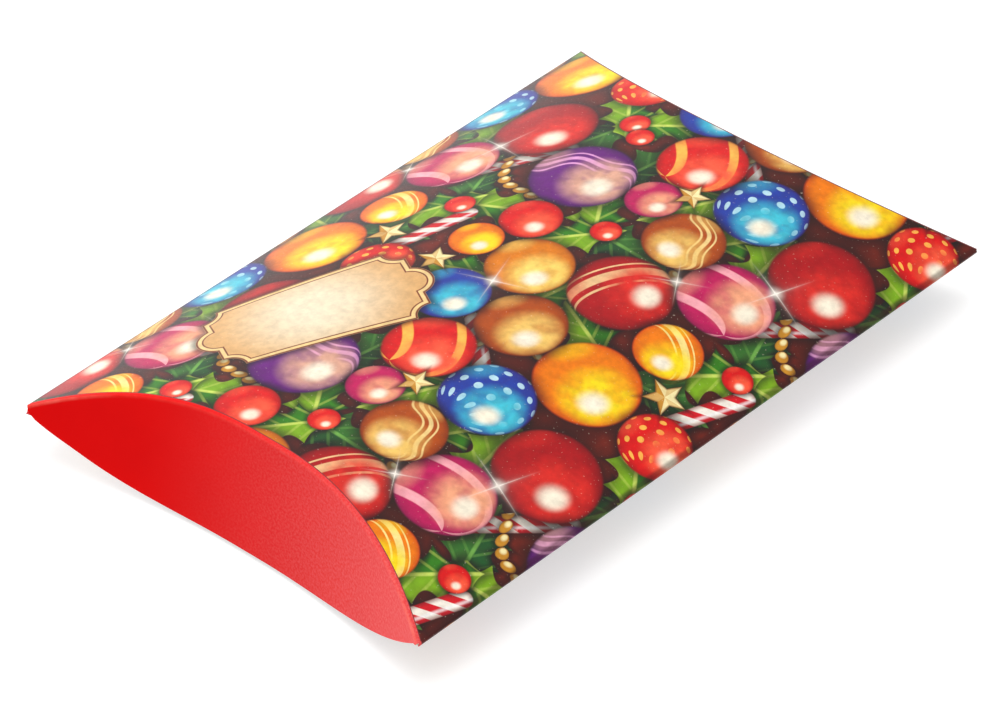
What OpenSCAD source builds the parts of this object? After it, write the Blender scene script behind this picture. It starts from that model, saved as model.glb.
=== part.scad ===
// Folding gift box: a pillow box folded from one die-cut sheet of printed paperboard.
// Two bowed panels meet along straight side folds, and curved scores close each end
// with an outer and an inner flap. X is the width, Y the length and Z is up. The box
// lies on the lower crown, with the origin under its middle.

/* [Box] */
// Length over the corner tips
box_length = 110; // [90:1:200]
// Width over the side folds
box_width = 74; // [62:1:140]
// Height over the two crowns, popped open
box_height = 17; // [15:0.2:24]
// Thickness of the paperboard
board = 0.4; // [0.25:0.05:0.5]

/* [Bow] */
// Power of the bow, where 2 is a parabola and more is flatter on top
bow_power = 2.2; // [2:0.1:2.8]
// Width of the flat strip along each crown
crown_w = 4; // [3:0.5:12]

/* [End flaps] */
// How far the curved scores stand in from the tips at the crown
score_inset = 9.3; // [9:0.1:14]
// How far the outer flap's free edge stands in from the tips
foot_inset = 4.6; // [4:0.2:7]
// Power of the outer flap's free edge, where more is straighter along the middle
free_edge_power = 3.2; // [2:0.1:4]
// Height of the outer flap's free edge over the inside of the lower panel
outer_flap_gap = 0.2; // [0.1:0.05:0.8]
// Height of the inner flap at its middle
inner_flap_h = 10.4; // [6:0.2:11]
// How far each rounded end of the inner flap stops short of the side folds
inner_flap_relief = 4.6; // [3.8:0.1:12]
// How far the inner flap leans out
inner_lean = 2; // [0:0.5:4]
// Width left open along each curved score, so that the flap can turn
score_gap = 0.05; // [0.02:0.01:0.1]
// How far each end of the outer flap stops short of the side folds
flap_relief = 0.6; // [0.3:0.1:3]

/* [Glue seam] */
// Width of the glue flap inside the upper panel
glue_flap_w = 10; // [6:0.5:14]
// How far the glue flap's root stops short of each corner tip
glue_root_inset = 2.5; // [1.5:0.5:12]
// How much further in each end of the glue flap runs at its free edge
glue_taper = 6.5; // [6:0.5:14]
// Thickness of the dried glue
glue_film = 0.05; // [0.03:0.01:0.1]
// Bare margin round the glue
glue_margin = 1.2; // [0.5:0.1:2.5]

/* [Hidden] */

// Flat facets across each half of a bow, and round a side fold
bow_steps = 24;
fold_steps = 10;
// How far cuts and prisms run past what they cut
overrun = 1;

// Colours of the printed outside, the red flaps, the bare board and the glue
print_colour = [0.55, 0.13, 0.16];
flap_colour = [0.82, 0.08, 0.10];
board_colour = [0.95, 0.94, 0.90];
glue_colour = [0.90, 0.88, 0.78];

// Inside line of the side folds, and the rise of the inside crown over it
fold_x = box_width / 2 - board;
rise = box_height / 2 - board;
crown_x = crown_w / 2;

// Stations across the width, from the left fold to the right fold
function station(i) = crown_x + (fold_x - crown_x) * i / bow_steps;
stations = concat([for (i = [bow_steps:-1:0]) -station(i)],
                  [for (i = [0:bow_steps]) station(i)]);

// Height of the bow at x as a share of its rise, for a bow that ends at half_w
function bow_share(x, half_w, power = bow_power) =
    1 - pow(max(0, abs(x) - crown_x) / (half_w - crown_x), power);

// The glued side stacks the upper panel over the glue flap. Its inside edge is lifted
// just enough for the glue flap's inside to start on the fold line.
seam_stack = board + glue_film;
edge_slope_share = bow_share(stations[len(stations) - 2], fold_x) * bow_steps
                   / (fold_x - crown_x);
stack_slope = seam_stack * edge_slope_share;
seam_lift = (-stack_slope * seam_stack * edge_slope_share * rise
             + seam_stack * sqrt(1 - pow(stack_slope, 2) + pow(rise * edge_slope_share, 2)))
            / (1 - pow(stack_slope, 2));

// Inside line of a panel across the width, with its left edge lifted by left_z
function inside_z(x, left_z) =
    let (edge_z = x < 0 ? left_z : 0) edge_z + (rise - edge_z) * bow_share(x, fold_x);
function inside_line(left_z) = [for (x = stations) [x, inside_z(x, left_z)]];

// A line moved sideways by d, to its left as it runs, with every facet kept parallel
function unit(v) = v / norm(v);
function left_of(a, b) = unit([a[1] - b[1], b[0] - a[0]]);
function moved_line(line, d) =
    let (last = len(line) - 1)
    [for (i = [0:last])
        let (before = left_of(line[max(i, 1) - 1], line[max(i, 1)]),
             after = left_of(line[min(i, last - 1)], line[min(i, last - 1) + 1]),
             mid = unit(before + after))
        line[i] + mid * d / (mid * before)];
function reversed(line) = [for (i = [len(line) - 1:-1:0]) line[i]];
function band(line, d0, d1) = concat(moved_line(line, d0), reversed(moved_line(line, d1)));

// Direction square to the last facet at a side fold
edge_normal = left_of([stations[len(stations) - 2], inside_z(stations[len(stations) - 2], 0)],
                      [fold_x, 0]);
seam_normal = left_of([-fold_x, seam_lift], [stations[1], inside_z(stations[1], seam_lift)]);

// The curved scores lie in planes through the tip line, tilted by score_tilt
inside_inset = score_inset + board * rise / score_inset;
score_tilt = atan2(rise, inside_inset);
// Every corner reaches past the tip line by this much, round the nose of the side fold
tip_reach = board * norm([edge_normal[0] / edge_normal[1] / sin(score_tilt) / cos(score_tilt),
                          tan(score_tilt)]);
tip_y = tip_reach - box_length / 2;
// Reach of the prisms that cut the ends
end_reach = box_height + inside_inset;

// Point on the outside of the upper crown's score, where an outer flap turns
hinge_y = tip_y + inside_inset - board * tan(score_tilt);
hinge_z = box_height / 2;

// Lean of the outer flap, and its bow against its own straight lines
outer_lean = atan2(score_inset - foot_inset, box_height);
function flap_bow(lean) = cos(lean) / tan(score_tilt) - sin(lean);

module standing() {
    translate([0, 0, box_height / 2]) children();
}

// Bands across the width, drawn in X and Z, as a prism along the whole length
module lengthwise(points) {
    translate([0, box_length / 2, 0])
        rotate([90, 0, 0])
            linear_extrude(box_length) polygon(points);
}

// Everything outside the upper curved score at the front, square to the score's plane
module beyond_score(left_z, back_off = 0) {
    line = [for (p = inside_line(left_z)) [p[0], p[1] / sin(score_tilt) - back_off]];
    last = len(line) - 1;
    left_end = line[0] + unit(line[0] - line[1]) * overrun;
    right_end = line[last] + unit(line[last] - line[last - 1]) * overrun;
    translate([0, tip_y, 0])
        rotate([score_tilt, 0, 0])
            linear_extrude(2 * end_reach, center = true)
                polygon(concat([[left_end[0], -end_reach], left_end], line,
                               [right_end, [right_end[0], -end_reach]]));
}

module both_ends() {
    children();
    mirror([0, 1, 0]) children();
}

// Upper panel shape, bowed across the width and cut by a curved score at each end
module panel(left_z) {
    difference() {
        lengthwise(band(inside_line(left_z), 0, board));
        both_ends() beyond_score(left_z);
    }
}

module top_panel() {
    color(print_colour) standing() panel(seam_lift);
}

module bottom_panel() {
    color(print_colour) standing() mirror([0, 0, 1]) panel(0);
}

// Slice of the round nose of a side fold, from one direction to another
function nose(centre, from_angle, to_angle) =
    concat([centre], [for (i = [0:fold_steps])
        let (a = from_angle + (to_angle - from_angle) * i / fold_steps)
        centre + board * [cos(a), sin(a)]]);

// Plain side fold, where the printed sheet runs round from panel to panel
module right_fold() {
    top_angle = atan2(edge_normal[1], edge_normal[0]);
    color(print_colour) standing()
        for (side = [0, 1])
            mirror([0, 0, side])
                difference() {
                    lengthwise(nose([fold_x, 0], 0, top_angle));
                    both_ends() beyond_score(0);
                }
}

// Side fold between the lower panel and the glue flap
module seam_fold() {
    top_angle = atan2(seam_normal[1], seam_normal[0]);
    low_angle = 360 - atan2(edge_normal[1], -edge_normal[0]);
    color(print_colour) standing()
        intersection() {
            lengthwise(nose([-fold_x, 0], top_angle, low_angle));
            cube([box_width + 2 * overrun, seam_length, box_height], center = true);
        }
}

// The glue flap follows the inside of the upper panel, one glue film below it
seam_length = box_length - 2 * (tip_reach + glue_root_inset);
seam_line = concat([[-fold_x, 0] + seam_normal * seam_stack],
                   [for (i = [1:bow_steps]) inside_line(seam_lift)[i]]);

module seam_plan(margin) {
    root_y = seam_length / 2 - margin;
    edge_y = root_y - glue_taper;
    edge_x = glue_flap_w - fold_x - margin;
    root_x = margin > 0 ? margin - fold_x : -fold_x - overrun;
    translate([0, 0, -overrun])
        linear_extrude(box_height)
            polygon([[root_x, -root_y], [edge_x, -edge_y], [edge_x, edge_y], [root_x, root_y]]);
}

module glue_flap() {
    color(board_colour) standing()
        intersection() {
            lengthwise(band(seam_line, -seam_stack, -glue_film));
            seam_plan(0);
        }
}

module glue_line() {
    color(glue_colour) standing()
        intersection() {
            lengthwise(band(seam_line, -glue_film, 0));
            seam_plan(glue_margin);
        }
}

// A flap hangs from the upper score. Its bow repeats the panel's, it leans out by
// lean, and low_edge gives its free edge as a line of x and distance along the lean.
module flap(left_z, lean, low_edge) {
    bow = [for (p = inside_line(left_z)) [p[0], p[1] * flap_bow(lean)]];
    last = len(low_edge) - 1;
    intersection() {
        translate([0, tip_y, 0])
            rotate([-lean, 0, 0])
                linear_extrude(2 * end_reach, center = true) polygon(band(bow, -board, 0));
        translate([0, tip_y, 0])
            rotate([90 - lean, 0, 0])
                linear_extrude(2 * end_reach, center = true)
                    polygon(concat([[low_edge[0][0], end_reach]], low_edge,
                                   [[low_edge[last][0], end_reach]]));
        beyond_score(left_z, score_gap);
        cube([box_width, box_length, box_height], center = true);
    }
}

// Distance along the lean of a point of the flap's bow line at height z
function along(z, bow_z, lean) = (z + bow_z * flap_bow(lean) * sin(lean)) / cos(lean);

// Outer flap: its free edge hangs in front of the lower panel's end, over the floor
module outer_flap() {
    foot_z = outer_flap_gap - rise;
    half_w = fold_x - flap_relief;
    xs = concat([-half_w], [for (x = stations) if (abs(x) < half_w) x], [half_w]);
    standing()
        flap(seam_lift, outer_lean,
             [for (x = xs)
                 let (edge_z = foot_z * bow_share(x, half_w, free_edge_power))
                 [x, along(edge_z, inside_z(x, seam_lift), outer_lean)]]);
}

// Inner flap: stands on the lower score behind the outer flap, lower and with round ends
module inner_flap() {
    half_w = fold_x - inner_flap_relief;
    xs = concat([-half_w], [for (x = stations) if (abs(x) < half_w) x], [half_w]);
    standing()
        mirror([0, 0, 1])
            flap(0, inner_lean,
                 [for (x = xs)
                     let (root_z = inside_z(x, 0))
                     [x, along(root_z - inner_flap_h * bow_share(x, half_w), root_z,
                               inner_lean)]]);
}

module front_outer_flap() {
    color(flap_colour) outer_flap();
}

module front_inner_flap() {
    color(flap_colour) inner_flap();
}

module back_outer_flap() {
    color(flap_colour) mirror([0, 1, 0]) outer_flap();
}

module back_inner_flap() {
    color(flap_colour) mirror([0, 1, 0]) inner_flap();
}

top_panel();
bottom_panel();
right_fold();
seam_fold();
glue_flap();
glue_line();
front_outer_flap();
front_inner_flap();
back_outer_flap();
back_inner_flap();
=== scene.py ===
import math

import bpy
import numpy as np
from mathutils import Matrix, Vector


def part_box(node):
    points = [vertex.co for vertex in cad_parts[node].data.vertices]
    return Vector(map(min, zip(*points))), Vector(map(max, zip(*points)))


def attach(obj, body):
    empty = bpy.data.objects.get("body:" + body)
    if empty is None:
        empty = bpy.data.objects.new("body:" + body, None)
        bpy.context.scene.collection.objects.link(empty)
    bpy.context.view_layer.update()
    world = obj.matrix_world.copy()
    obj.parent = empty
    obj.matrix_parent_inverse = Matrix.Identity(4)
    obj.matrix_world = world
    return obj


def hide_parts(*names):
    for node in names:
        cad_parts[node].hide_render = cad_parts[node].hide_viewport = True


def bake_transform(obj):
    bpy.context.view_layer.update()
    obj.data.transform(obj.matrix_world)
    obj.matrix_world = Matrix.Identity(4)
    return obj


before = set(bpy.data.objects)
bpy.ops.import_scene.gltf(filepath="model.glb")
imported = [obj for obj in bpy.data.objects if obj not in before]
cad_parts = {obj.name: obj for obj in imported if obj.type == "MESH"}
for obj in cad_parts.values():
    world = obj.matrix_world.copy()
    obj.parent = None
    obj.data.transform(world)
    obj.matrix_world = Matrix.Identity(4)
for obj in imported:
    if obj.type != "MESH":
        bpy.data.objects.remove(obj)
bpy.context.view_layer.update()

# The dressed gift box: the printed sleeve, its glue flap, and four flaps of two plies each.
# Sizes of the folded sheet, the same as in the solids, in metres
MM = 0.001
fold_low, fold_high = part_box("right_fold")
HALF_W = fold_high.x
HALF_LENGTH = fold_high.y
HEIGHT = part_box("top_panel")[1].z
BOARD = fold_high.x - fold_low.x
BOW_POWER = 2.2
CROWN_X = 2 * MM
SCORE_INSET = 9.3 * MM
FOOT_INSET = 4.6 * MM
FREE_EDGE_POWER = 3.2
OUTER_FLAP_GAP = 0.2 * MM
INNER_FLAP_H = 10.4 * MM
INNER_FLAP_RELIEF = 4.6 * MM
INNER_LEAN = math.radians(2)
GLUE_FLAP_W = 10 * MM
GLUE_ROOT_INSET = 2.5 * MM
GLUE_TAPER = 6.5 * MM
GLUE_FILM = 0.05 * MM
# Radius left on the inside of every fold
INSIDE_RADIUS = 0.02 * MM

FOLD_X = HALF_W - BOARD
RISE = HEIGHT / 2 - BOARD
INSIDE_INSET = SCORE_INSET + BOARD * RISE / SCORE_INSET
SCORE_TILT = math.atan2(RISE, INSIDE_INSET)
OUTER_LEAN = math.atan2(SCORE_INSET - FOOT_INSET, HEIGHT)
BOW_RATE = BOW_POWER / (FOLD_X - CROWN_X)
EDGE_SLOPE = RISE * BOW_RATE
TIP_REACH = BOARD * math.hypot(EDGE_SLOPE / math.sin(SCORE_TILT) / math.cos(SCORE_TILT),
                               math.tan(SCORE_TILT))
TIP_Y = TIP_REACH - HALF_LENGTH

# Camera, from a fit of the box's outline to the photograph
CAMERA_AZIMUTH = 45.87
CAMERA_ELEVATION = 37.52
CAMERA_ROLL = -3.41
CAMERA_FOCUS_PIXELS = 5796
CAMERA_PLACE = Vector((446.9, -435.0, 483.1)) * MM
PHOTO_WIDTH = 1000
SENSOR_WIDTH = 36
CLIP_START = 10 * MM


def make_camera():
    azimuth = math.radians(CAMERA_AZIMUTH)
    elevation = math.radians(CAMERA_ELEVATION)
    roll = math.radians(CAMERA_ROLL)
    back = Vector((math.sin(azimuth) * math.cos(elevation),
                   -math.cos(azimuth) * math.cos(elevation), math.sin(elevation)))
    right = Vector((0, 0, 1)).cross(back).normalized()
    up = back.cross(right)
    axes = Matrix((right * math.cos(roll) + up * math.sin(roll),
                   up * math.cos(roll) - right * math.sin(roll), back)).transposed()
    data = bpy.data.cameras.new("camera")
    data.sensor_width = SENSOR_WIDTH
    data.lens = SENSOR_WIDTH * CAMERA_FOCUS_PIXELS / PHOTO_WIDTH
    data.clip_start = CLIP_START
    camera = bpy.data.objects.new("camera", data)
    camera.matrix_world = Matrix.Translation(CAMERA_PLACE) @ axes.to_4x4()
    bpy.context.scene.collection.objects.link(camera)
    bpy.context.scene.camera = camera


make_camera()


def bow_share(x, half_w, power=BOW_POWER):
    """Height of the bow at x as a share of its rise, for a bow that ends at half_w."""
    beyond = np.maximum(0, np.abs(x) - CROWN_X) / (half_w - CROWN_X)
    return 1 - beyond ** power


# Rounds that settle the height of the glued edge, and stations that measure a panel
LIFT_ROUNDS = 8
MEASURE_STATIONS = 200


def lifted_edge():
    """Height of the upper panel's glued edge, over the glue flap and the glue."""
    stack = BOARD + GLUE_FILM
    lift = stack
    for _ in range(LIFT_ROUNDS):
        lift = stack * math.hypot(1, (RISE - lift) * BOW_RATE)
    return lift


SEAM_LIFT = lifted_edge()


def inside_line(x, left_z):
    """Inside height of a panel at x, and its slope there."""
    edge = np.where(x < 0, left_z, 0.0)
    z = edge + (RISE - edge) * bow_share(x, FOLD_X)
    beyond = np.maximum(0, np.abs(x) - CROWN_X) / (FOLD_X - CROWN_X)
    slope = -np.sign(x) * (RISE - edge) * BOW_RATE * beyond ** (BOW_POWER - 1)
    return z, slope


def unit(v):
    return v / np.linalg.norm(v, axis=-1, keepdims=True)


def turned(start, end, share):
    """Directions on the arc from start to end, share being 0 to 1."""
    angle = np.arccos(np.clip((start * end).sum(-1, keepdims=True), -1, 1))
    return (np.sin((1 - share) * angle) * start + np.sin(share * angle) * end) / np.sin(angle)


def path_lengths(points):
    steps = np.linalg.norm(np.diff(points, axis=0), axis=1)
    return np.concatenate([[0], np.cumsum(steps)])


def outside_half():
    """Length of a panel's outside face from its middle to a side fold."""
    x = np.linspace(0, FOLD_X, MEASURE_STATIONS)
    z, slope = inside_line(x, 0.0)
    normal = unit(np.stack([-slope, np.ones_like(x)], -1))
    return path_lengths(np.stack([x, z], -1) + normal * BOARD)[-1]


PANEL_HALF = outside_half()


# Material slots of a sheet: its outside face, its inside face, its cut edges, and the red
# ink and dark seam that run over from one piece to the next
PRINT_SLOT, BARE_SLOT, EDGE_SLOT, RED_SLOT, SEAM_SLOT = range(5)


def sheet_piece(name, base, normal, uv, side=(1, 1), reach=None, face_slots=PRINT_SLOT,
                rim_slots=(EDGE_SLOT, EDGE_SLOT), inside_slot=BARE_SLOT,
                faces_at=(INSIDE_RADIUS, BOARD)):
    """A thick sheet over a grid of points on its inside, with the normal to its outside.

    side mirrors the piece along Y and in Z, about the middle of the box, and reach moves
    the outside face alone. face_slots gives the slots of the outside face, by row and
    column, and rim_slots those of the edges at the first and last row. faces_at is how far
    the inside and the outside face lie from the grid.
    """
    rows, cols = base.shape[:2]
    count = rows * cols
    outside = base + normal * faces_at[1] + (0 if reach is None else reach)
    inside = base + normal * faces_at[0]
    points = np.concatenate([outside.reshape(-1, 3), inside.reshape(-1, 3)])
    points = points * (1, side[0], side[1]) + (0, 0, HEIGHT / 2)
    index = np.arange(count).reshape(rows, cols)
    corners = (index[:-1, :-1], index[:-1, 1:], index[1:, 1:], index[1:, :-1])
    outer = np.stack(corners, -1).reshape(-1, 4)
    inner = outer[:, ::-1] + count
    rim = np.concatenate([index[0, :], index[1:, -1], index[-1, -2::-1], index[-2:0:-1, 0]])
    after = np.roll(rim, -1)
    edge = np.stack([after, rim, rim + count, after + count], -1)
    faces = np.concatenate([outer, inner, edge])
    if side[0] * side[1] < 0:
        faces = faces[:, ::-1]
    slots = np.repeat([PRINT_SLOT, inside_slot, EDGE_SLOT],
                      [len(outer), len(inner), len(edge)])
    slots[:len(outer)] = np.broadcast_to(face_slots, (rows - 1, cols - 1)).ravel()
    for start, slot in zip((0, cols + rows - 2), rim_slots):
        start += len(outer) + len(inner)
        slots[start:start + cols - 1] = slot
    mesh = bpy.data.meshes.new(name)
    mesh.from_pydata(points.tolist(), [], faces.tolist())
    mesh.polygons.foreach_set("material_index", slots.astype(np.int32))
    mesh.polygons.foreach_set("use_smooth", np.arange(len(faces)) < len(outer) + len(inner))
    layer = mesh.uv_layers.new(name=SHEET_LAYER)
    loop_vertices = np.zeros(len(mesh.loops), np.int32)
    mesh.loops.foreach_get("vertex_index", loop_vertices)
    both_faces = np.concatenate([uv.reshape(-1, 2)] * 2)
    layer.data.foreach_set("uv", both_faces[loop_vertices].astype(np.float32).ravel())
    rim_edges = {frozenset(ends) for ends in zip(rim.tolist(), after.tolist())}
    rim_edges |= {frozenset(v + count for v in ends) for ends in rim_edges}
    for mesh_edge in mesh.edges:
        mesh_edge.use_edge_sharp = frozenset(mesh_edge.vertices) in rim_edges
    mesh.update()
    piece = bpy.data.objects.new(name, mesh)
    bpy.context.scene.collection.objects.link(piece)
    return piece


# The layer that holds each point's place on the flat sheet, in metres
SHEET_LAYER = "sheet"
# Stations across one panel and round the nose of a side fold, and rows along the box
PANEL_STATIONS = 150
NOSE_STATIONS = 9
LENGTH_ROWS = 82
# The flaps' red ink runs on over the front score, and is darker where it meets the print
INK_OVERLAP = 0.45 * MM
INK_SEAM = 0.13 * MM


def lengthwise_grid(line, normal, end):
    """A grid from a line of X and Z across the width, run along Y from back to front.

    The last two rows are as wide as the ink's overlap.
    """
    shape = (LENGTH_ROWS, len(line))
    share = np.linspace(0, 1, LENGTH_ROWS - 2)[:, None]
    y = np.concatenate([end * (1 - share) + (INK_OVERLAP - end) * share,
                        [INK_OVERLAP - INK_SEAM - end], [-end]])
    across = np.broadcast_to(line[:, 0], shape)
    up = np.broadcast_to(line[:, 1], shape)
    base = np.stack([across, y, up], -1)
    out = np.stack([np.broadcast_to(normal[:, 0], shape), 0 * y,
                    np.broadcast_to(normal[:, 1], shape)], -1)
    return base, out, y


# Share of the mitre's reach that is left at the sleeve's blunt tips, and the width of
# panel over which it dies out
TIP_BLUNT = 0.15
TIP_ROUNDING = 1.2 * MM


def sleeve_sheet():
    """The printed sheet: upper panel, plain side fold and lower panel in one."""
    x = np.linspace(-FOLD_X, FOLD_X, PANEL_STATIONS)
    top_z, top_slope = inside_line(x, SEAM_LIFT)
    low_z, low_slope = inside_line(x, 0.0)
    top_n = unit(np.stack([-top_slope, np.ones_like(x)], -1))
    low_n = unit(np.stack([-low_slope, np.ones_like(x)], -1)) * (1, -1)
    share = np.linspace(0, 1, NOSE_STATIONS + 2)[1:-1, None]
    nose_n = turned(top_n[-1:], low_n[-1:], share)
    nose = np.repeat([[FOLD_X, 0.0]], NOSE_STATIONS, 0)
    line = np.concatenate([np.stack([x, top_z], -1), nose, np.stack([x, -low_z], -1)[::-1]])
    normal = np.concatenate([top_n, nose_n, low_n[::-1]])
    end = -TIP_Y - INSIDE_INSET / RISE * np.abs(line[:, 1])
    length = path_lengths(line + normal * BOARD)
    length = length - np.interp(0, x, length[:PANEL_STATIONS])
    base, out, y = lengthwise_grid(line, normal, end)
    to_fold = np.clip(1 - (FOLD_X - np.abs(line[:, 0])) / TIP_ROUNDING, 0, 1) ** 2
    reach = np.zeros_like(base)
    reach[0, :, 1] = TIP_BLUNT * TIP_REACH * to_fold
    reach[-1, :, 1] = -reach[0, :, 1]
    uv = np.stack([np.broadcast_to(length, y.shape), y], -1)
    face_slots = np.full((LENGTH_ROWS - 1, 1), PRINT_SLOT)
    face_slots[-2:, 0] = SEAM_SLOT, RED_SLOT
    return sheet_piece("sleeve_sheet", base, out, uv, reach=reach, face_slots=face_slots,
                       rim_slots=(PRINT_SLOT, RED_SLOT))


# Stations across the glue flap
GLUE_FLAP_STATIONS = 24


def glue_flap_sheet():
    """The seam fold and the glue flap, which runs inside the upper panel."""
    x = np.linspace(-FOLD_X, -FOLD_X + GLUE_FLAP_W, GLUE_FLAP_STATIONS)
    z, slope = inside_line(x, SEAM_LIFT)
    flap_n = unit(np.stack([-slope, np.ones_like(x)], -1))
    _, low_slope = inside_line(np.array([-FOLD_X]), 0.0)
    low_n = unit(np.array([[-low_slope[0], 1.0]])) * (1, -1)
    flap = np.stack([x, z], -1) - flap_n * (BOARD + GLUE_FILM)
    flap[0] = (-FOLD_X, 0)
    share = np.linspace(0, 1, NOSE_STATIONS + 2)[:-1, None]
    nose_n = turned(low_n, flap_n[:1], share)
    nose = np.repeat([[-FOLD_X, 0.0]], len(nose_n), 0)
    line = np.concatenate([nose, flap])
    normal = np.concatenate([nose_n, flap_n])
    root = HALF_LENGTH - TIP_REACH - GLUE_ROOT_INSET
    across = np.clip((line[:, 0] + FOLD_X) / GLUE_FLAP_W, 0, 1)
    base, out, y = lengthwise_grid(line, normal, root - GLUE_TAPER * across)
    length = path_lengths(line + normal * BOARD)
    uv = np.stack([np.broadcast_to(3 * PANEL_HALF + length, y.shape), y], -1)
    face_slots = np.full(len(line) - 1, BARE_SLOT)
    face_slots[:len(nose)] = PRINT_SLOT
    return sheet_piece("glue_flap_sheet", base, out, uv, face_slots=face_slots)


# Stations across a flap, rows round its fold, and rows down its blade
FLAP_STATIONS = 130
FOLD_ROWS = 6
PRINTED_FOLD_ROWS = 4
FLAP_ROWS = 26


def flap_ply(name, side, left_z, half_w, lean, blade_length, inked, faces_at):
    """A ply of a flap on the front upper score, or mirrored by side to another score.

    The first rows are the fold itself, bent round the score from the panel to the flap.
    At the back the print runs on over the first of them.
    """
    x = np.linspace(-half_w, half_w, FLAP_STATIONS)
    z, slope = inside_line(x, left_z)
    inset = INSIDE_INSET / RISE
    score = np.stack([x, TIP_Y + inset * z, z], -1)
    panel_n = unit(np.stack([-slope, 0 * x, np.ones_like(x)], -1))
    down = np.array([0, -math.sin(lean), -math.cos(lean)])
    along = np.stack([np.ones_like(x), inset * slope, slope], -1)
    flap_n = unit(-np.cross(along, down))
    share = np.linspace(0, 1, FOLD_ROWS + 1)[:-1, None, None]
    fold_n = turned(panel_n[None], flap_n[None], share)
    fold = np.broadcast_to(score, fold_n.shape)
    rows = np.linspace(0, 1, FLAP_ROWS)[:, None, None]
    blade = score + rows * blade_length(x, z)[:, None] * down
    base = np.concatenate([fold, blade])
    normal = np.concatenate([fold_n, np.broadcast_to(flap_n, blade.shape)])
    steps = np.linalg.norm(np.diff(base + normal * BOARD, axis=0), axis=-1)
    v = np.concatenate([np.zeros((1, len(x))), np.cumsum(steps, axis=0)])
    u = np.broadcast_to(path_lengths(score) - path_lengths(score)[-1] / 2, v.shape)
    face_slots = np.full((len(base) - 1, 1), PRINT_SLOT if inked else BARE_SLOT)
    face_slots[:PRINTED_FOLD_ROWS if inked and side[0] < 0 else 0] = SEAM_SLOT
    return sheet_piece(name, base, normal, np.stack([u, v], -1), side,
                       face_slots=face_slots, rim_slots=(face_slots[0, 0], EDGE_SLOT),
                       inside_slot=face_slots[-1, 0], faces_at=faces_at)


# Where the outer flap's free edge ends, and how far its board runs on into the tips
OUTER_HALF_W = FOLD_X - 0.12 * MM
TIP_HALF_W = FOLD_X + 0.15 * MM
INNER_HALF_W = FOLD_X - INNER_FLAP_RELIEF
# Depth left of the outer flap at its blunt tips, below the middle of the box, how much
# fuller it is near the tip by the seam, and the distances over which that grows and fades
TIP_DEPTH = 0.1 * MM
TIP_FULLNESS = 0.45 * MM
TIP_GROWTH = 1.2 * MM
TIP_FADE = 8 * MM


def outer_blade(x, z):
    foot = (OUTER_FLAP_GAP - RISE) * bow_share(x, OUTER_HALF_W, FREE_EDGE_POWER)
    from_tip = TIP_HALF_W - np.abs(x)
    grown = np.sin(np.clip(from_tip / TIP_GROWTH, 0, 1) * math.pi / 2)
    left = np.cos(np.clip(from_tip / TIP_FADE, 0, 1) * math.pi / 2) ** 2
    foot = np.minimum(foot, -TIP_DEPTH) - np.where(x < 0, TIP_FULLNESS * grown * left, 0)
    return (z - foot) / math.cos(OUTER_LEAN)


def inner_blade(x, z):
    return INNER_FLAP_H * bow_share(x, INNER_HALF_W) / math.cos(INNER_LEAN)


# A flap is two plies, with its inked face outermost. The inner ply
# ends at PLY_FACE, and the outer one starts a gap further out. For each: how far its inside
# and its outside face lie from the score, and whether it is inked.
PLY_FACE = 0.2 * MM
PLY_GAP = 0.02 * MM
PLIES = {"sheet": ((PLY_FACE + PLY_GAP, BOARD), True),
         "inside": ((INSIDE_RADIUS, PLY_FACE), False)}


def hang(piece):
    """Bakes the ply's transform into its mesh.
    """
    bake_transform(piece)


def colour_of(value):
    """Linear colour from a six-digit sRGB value."""
    channels = [(value >> shift & 255) / 255 for shift in (16, 8, 0)]
    return [c / 12.92 if c <= 0.04045 else ((c + 0.055) / 1.055) ** 2.4 for c in channels] + [1]


# Places of the colour sockets on a mix node, whose names it uses for other kinds too
MIX_LOW, MIX_HIGH, MIX_RESULT = 6, 7, 2


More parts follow.
